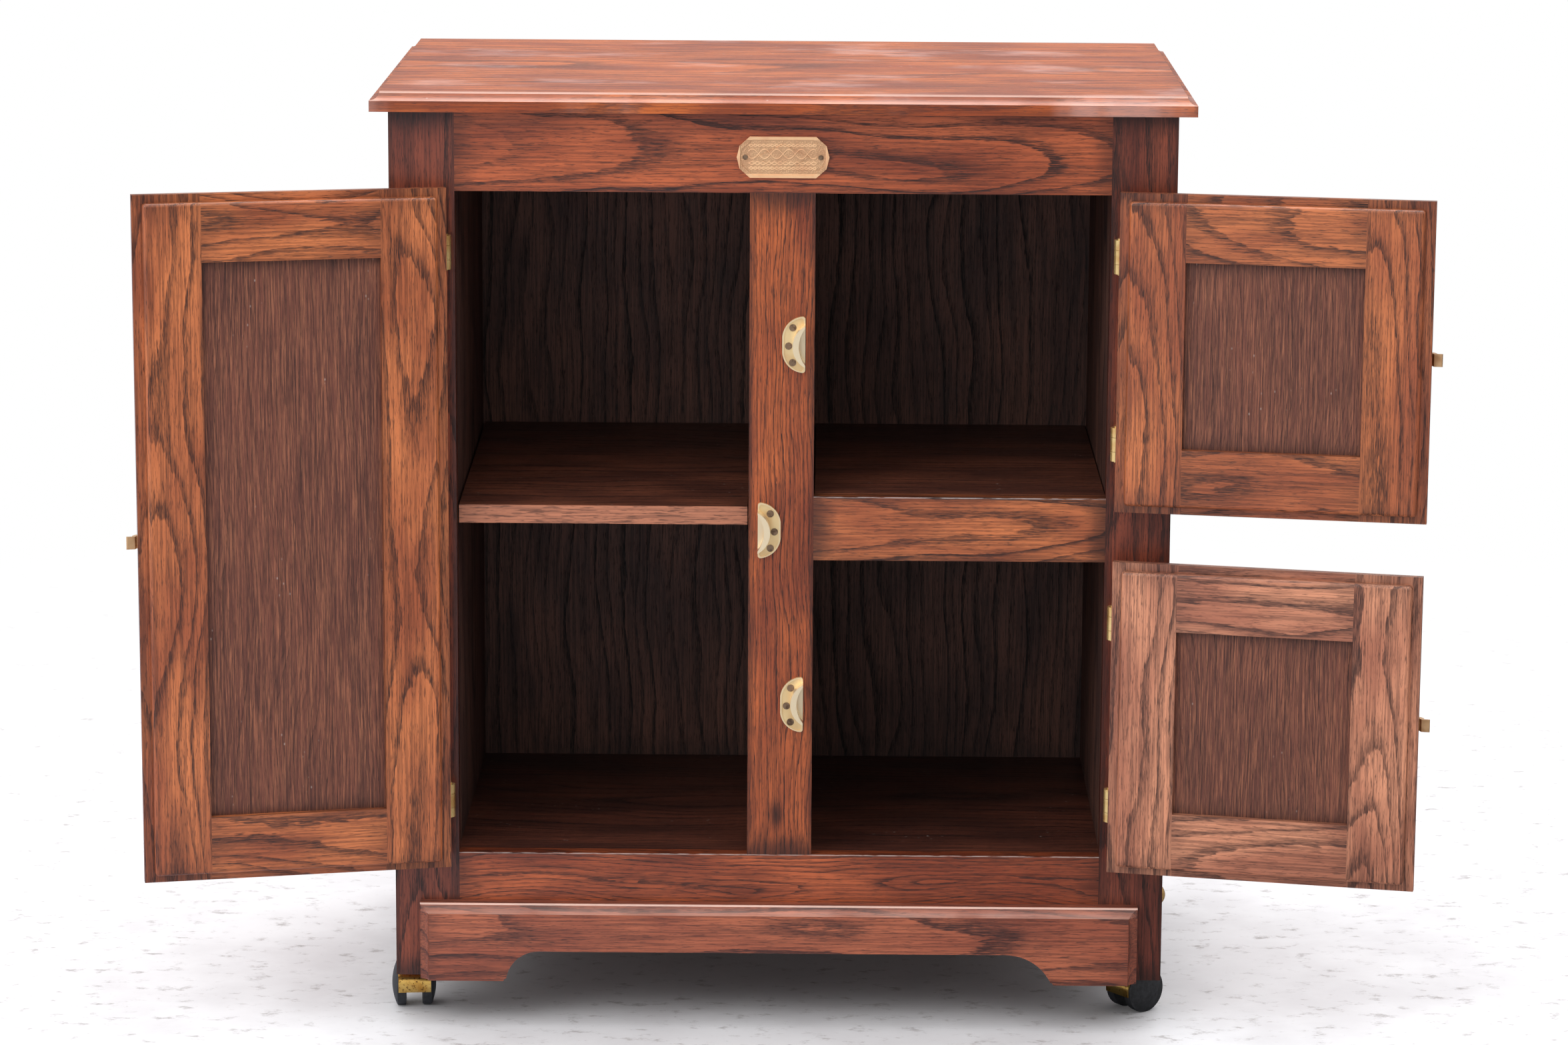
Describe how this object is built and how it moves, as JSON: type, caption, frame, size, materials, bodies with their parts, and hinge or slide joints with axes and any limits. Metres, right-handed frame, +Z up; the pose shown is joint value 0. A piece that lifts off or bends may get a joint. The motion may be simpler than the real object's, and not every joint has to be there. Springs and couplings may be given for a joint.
{
  "type": "icebox",
  "caption": "Oak icebox cabinet with a tall left door, stacked right doors, insulated shelved compartments, lever latches and twin-wheel casters.",
  "frame": {"origin": "middle of the footprint with the doors open, at floor level", "axes": "+X to the viewer's right from the front, +Y from the front to the back, +Z up"},
  "size_m": [1.3922, 0.649, 1.028],
  "materials": {
    "top_oak": "gloss varnish over stained oak",
    "case_oak": "semi-gloss varnish over red-brown stained oak",
    "plinth_oak": "semi-gloss varnish over red-brown stained oak",
    "case_panel_oak": "satin varnish over stained oak",
    "door_oak": "semi-gloss varnish over stained oak",
    "door_panel_oak": "worn matt inner face",
    "lining_oak": "matt, dark and aged",
    "shelf_oak": "satin, aged",
    "insulation_cork": "raw cork",
    "socket_steel": "plain",
    "keeper_brass": "satin cast",
    "label_brass": "stippled ground, polished rim",
    "screw_bronze": "tarnished",
    "cap_brass": "polished",
    "hinge_brass": "polished",
    "latch_brass": "satin cast",
    "caster_brass": "polished with rust spots",
    "wheel_grey": "matt grey"
  },
  "bodies": {
    "cabinet": {"top_board": "top_oak", "left_front_stile": "case_oak", "right_front_stile": "case_oak", "centre_stile": "case_oak", "top_rail": "case_oak", "bottom_rail": "case_oak", "mid_rail": "case_oak", "plinth": "plinth_oak", "left_side_frame": "case_oak", "right_side_frame": "case_oak", "side_panels": "case_panel_oak", "rear_rails": "case_oak", "rear_panel": "case_panel_oak", "wall_linings": "lining_oak", "back_lining": "lining_oak", "floor_board": "lining_oak", "insulation": "insulation_cork", "left_shelf": "shelf_oak", "right_shelf": "shelf_oak", "shelf_supports": "shelf_oak", "caster_sockets": "socket_steel", "keepers": "keeper_brass", "label_plate": "label_brass", "side_cap": "cap_brass", "frame_screws": "screw_bronze", "frame_hinge_leaves": "hinge_brass", "hinge_pins": "hinge_brass"},
    "left_door": {"left_door_stiles": "door_oak", "left_door_rails": "door_oak", "left_door_panel": "door_panel_oak", "left_door_hinge_leaves": "hinge_brass", "left_latch_base": "latch_brass", "left_door_screws": "screw_bronze"},
    "left_latch": {"left_latch_lever": "latch_brass"},
    "upper_right_door": {"upper_right_door_stiles": "door_oak", "upper_right_door_rails": "door_oak", "upper_right_door_panel": "door_panel_oak", "upper_right_door_hinge_leaves": "hinge_brass", "upper_right_latch_base": "latch_brass", "upper_right_door_screws": "screw_bronze"},
    "upper_right_latch": {"upper_right_latch_lever": "latch_brass"},
    "lower_right_door": {"lower_right_door_stiles": "door_oak", "lower_right_door_rails": "door_oak", "lower_right_door_panel": "door_panel_oak", "lower_right_door_hinge_leaves": "hinge_brass", "lower_right_latch_base": "latch_brass", "lower_right_door_screws": "screw_bronze"},
    "lower_right_latch": {"lower_right_latch_lever": "latch_brass"},
    "left_front_caster": {"left_front_caster_hood": "caster_brass"},
    "left_front_left_wheel_body": {"left_front_left_wheel": "wheel_grey"},
    "left_front_right_wheel_body": {"left_front_right_wheel": "wheel_grey"},
    "right_front_caster": {"right_front_caster_hood": "caster_brass"},
    "right_front_left_wheel_body": {"right_front_left_wheel": "wheel_grey"},
    "right_front_right_wheel_body": {"right_front_right_wheel": "wheel_grey"},
    "left_rear_caster": {"left_rear_caster_hood": "caster_brass"},
    "left_rear_left_wheel_body": {"left_rear_left_wheel": "wheel_grey"},
    "left_rear_right_wheel_body": {"left_rear_right_wheel": "wheel_grey"},
    "right_rear_caster": {"right_rear_caster_hood": "caster_brass"},
    "right_rear_left_wheel_body": {"right_rear_left_wheel": "wheel_grey"},
    "right_rear_right_wheel_body": {"right_rear_right_wheel": "wheel_grey"}
  },
  "joints": [
    {"name": "left_door_hinge", "type": "hinge", "parent": "cabinet", "child": "left_door", "pos_m": [-0.36083, -0.22695, 0.55625], "axis": [0, 0, 1], "range_deg": [-8, 167]},
    {"name": "left_latch_pivot", "type": "hinge", "parent": "left_door", "child": "left_latch", "pos_m": [-0.68146, -0.29533, 0.5545], "axis": [0, 0, 1], "range_deg": [0, 26], "stiffness_Nm_per_rad": 0.3},
    {"name": "upper_right_door_hinge", "type": "hinge", "parent": "cabinet", "child": "upper_right_door", "pos_m": [0.35678, -0.22695, 0.756], "axis": [0, 0, 1], "range_deg": [-170.4, 4.6]},
    {"name": "upper_right_latch_pivot", "type": "hinge", "parent": "upper_right_door", "child": "upper_right_latch", "pos_m": [0.6809, -0.2762, 0.7578], "axis": [0, 0, 1], "range_deg": [-26, 0], "stiffness_Nm_per_rad": 0.3},
    {"name": "lower_right_door_hinge", "type": "hinge", "parent": "cabinet", "child": "lower_right_door", "pos_m": [0.35678, -0.22695, 0.35665], "axis": [0, 0, 1], "range_deg": [-167.9, 7.1]},
    {"name": "lower_right_latch_pivot", "type": "hinge", "parent": "lower_right_door", "child": "lower_right_latch", "pos_m": [0.67844, -0.29029, 0.3645], "axis": [0, 0, 1], "range_deg": [-26, 0], "stiffness_Nm_per_rad": 0.3},
    {"name": "left_front_swivel", "type": "hinge", "parent": "cabinet", "child": "left_front_caster", "pos_m": [-0.40952, -0.13445, 0.04], "axis": [0, 0, 1], "continuous": true},
    {"name": "left_front_left_wheel_spin", "type": "hinge", "parent": "left_front_caster", "child": "left_front_left_wheel_body", "pos_m": [-0.40806, -0.14838, 0.025], "axis": [0.9945, 0.1045, 0], "continuous": true},
    {"name": "left_front_right_wheel_spin", "type": "hinge", "parent": "left_front_caster", "child": "left_front_right_wheel_body", "pos_m": [-0.40806, -0.14838, 0.025], "axis": [0.9945, 0.1045, 0], "continuous": true},
    {"name": "right_front_swivel", "type": "hinge", "parent": "cabinet", "child": "right_front_caster", "pos_m": [0.40547, -0.13445, 0.04], "axis": [0, 0, 1], "continuous": true},
    {"name": "right_front_left_wheel_spin", "type": "hinge", "parent": "right_front_caster", "child": "right_front_left_wheel_body", "pos_m": [0.39452, -0.14317, 0.025], "axis": [0.6225, -0.7826, 0], "continuous": true},
    {"name": "right_front_right_wheel_spin", "type": "hinge", "parent": "right_front_caster", "child": "right_front_right_wheel_body", "pos_m": [0.39452, -0.14317, 0.025], "axis": [0.6225, -0.7826, 0], "continuous": true},
    {"name": "left_rear_swivel", "type": "hinge", "parent": "cabinet", "child": "left_rear_caster", "pos_m": [-0.40952, 0.26955, 0.04], "axis": [0, 0, 1], "continuous": true},
    {"name": "left_rear_left_wheel_spin", "type": "hinge", "parent": "left_rear_caster", "child": "left_rear_left_wheel_body", "pos_m": [-0.40091, 0.25851, 0.025], "axis": [0.788, 0.6157, 0], "continuous": true},
    {"name": "left_rear_right_wheel_spin", "type": "hinge", "parent": "left_rear_caster", "child": "left_rear_right_wheel_body", "pos_m": [-0.40091, 0.25851, 0.025], "axis": [0.788, 0.6157, 0], "continuous": true},
    {"name": "right_rear_swivel", "type": "hinge", "parent": "cabinet", "child": "right_rear_caster", "pos_m": [0.40547, 0.26955, 0.04], "axis": [0, 0, 1], "continuous": true},
    {"name": "right_rear_left_wheel_spin", "type": "hinge", "parent": "right_rear_caster", "child": "right_rear_left_wheel_body", "pos_m": [0.41026, 0.2827, 0.025], "axis": [-0.9397, 0.342, 0], "continuous": true},
    {"name": "right_rear_right_wheel_spin", "type": "hinge", "parent": "right_rear_caster", "child": "right_rear_right_wheel_body", "pos_m": [0.41026, 0.2827, 0.025], "axis": [-0.9397, 0.342, 0], "continuous": true}
  ]
}
